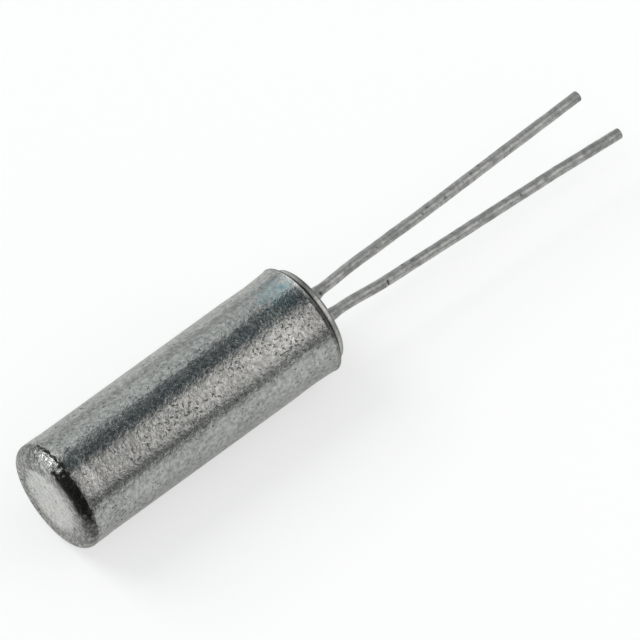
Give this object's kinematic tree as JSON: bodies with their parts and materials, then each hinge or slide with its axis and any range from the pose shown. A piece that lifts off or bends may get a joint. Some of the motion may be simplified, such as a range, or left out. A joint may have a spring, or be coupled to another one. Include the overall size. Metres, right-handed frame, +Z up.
{
  "type": "crystal oscillator",
  "caption": "Cylindrical metal-can quartz crystal unit lying on its side, with a pressed-in glass header, two bare wire leads and a tuning fork sealed inside.",
  "frame": {"origin": "on the surface that the can lies on, under the middle of the overall length", "axes": "+X along the can's axis, from the closed end towards the leads; +Z up from the surface"},
  "size_m": [0.0178, 0.003, 0.0031],
  "materials": {
    "can_metal": "satin plated metal, finely pitted",
    "header_metal": "satin plated metal",
    "seal_glass": "dark opaque sealing glass, glossy",
    "lead_wire": "dull tinned wire, mottled",
    "quartz": "clear quartz with a thin metal film",
    "solder": "bright solder"
  },
  "bodies": {
    "root": {"can": "can_metal", "header_ring": "header_metal", "glass_seal": "seal_glass", "lead_a": "lead_wire", "lead_b": "lead_wire", "quartz_fork": "quartz", "solder_a": "solder", "solder_b": "solder"}
  },
  "joints": []
}
